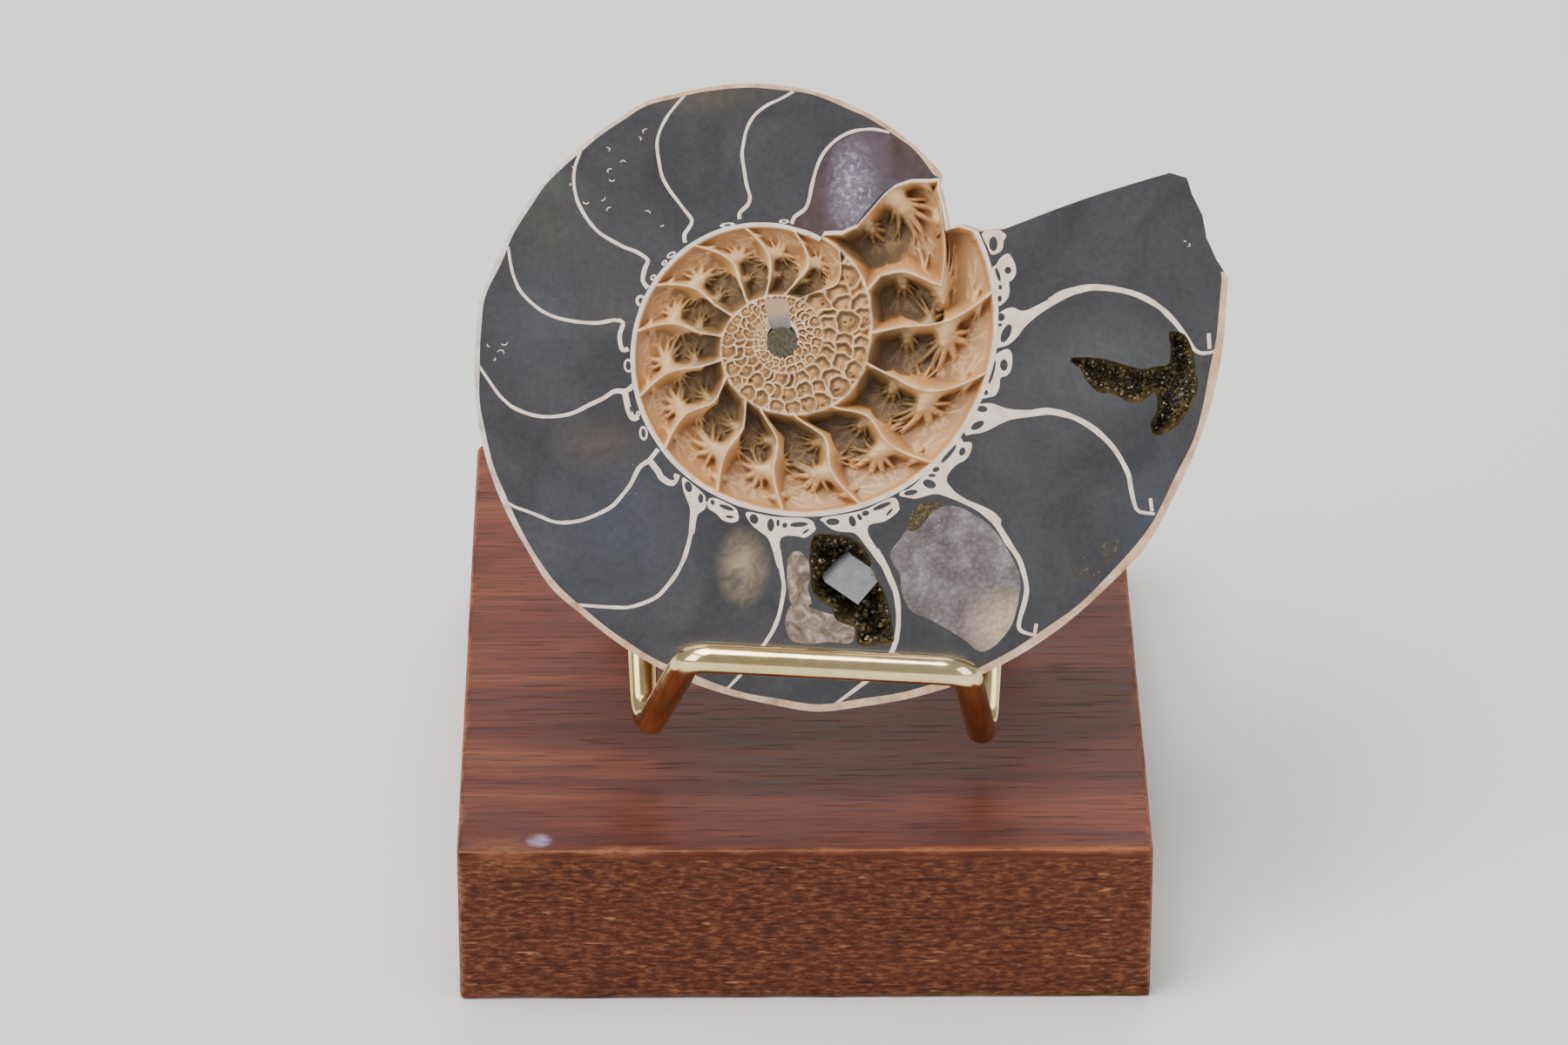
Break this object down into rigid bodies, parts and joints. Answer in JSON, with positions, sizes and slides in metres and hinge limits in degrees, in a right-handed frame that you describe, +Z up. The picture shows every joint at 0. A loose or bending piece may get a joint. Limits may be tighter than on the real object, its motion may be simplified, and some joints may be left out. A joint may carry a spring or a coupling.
{
  "type": "ammonite fossil half on a stand",
  "caption": "Cut and polished half of a coiled ammonite with open crystal chambers, leaning in a bent brass wire easel set in a rectangular mahogany block.",
  "frame": {"origin": "centre of the block's bottom face, on the surface that it stands on", "axes": "+Z up, the front of the stand and the cut face of the fossil towards -Y, +X to the viewer's right"},
  "size_m": [0.0891, 0.1, 0.0958],
  "materials": {
    "mahogany": "reddish mahogany with an open grain and a thin satin oil",
    "brass_wire": "polished pale brass",
    "fossil_stone": "natural stone: polished grey filling, cream walls and tan open chambers",
    "calcite": "cloudy calcite crystals",
    "dark_druse": "small dark olive crystals"
  },
  "bodies": {
    "root": {"base_block": "mahogany", "wire_easel": "brass_wire", "ammonite_half": "fossil_stone", "crystal_crust_lower": "calcite", "crystal_crust_right": "dark_druse"}
  },
  "joints": []
}
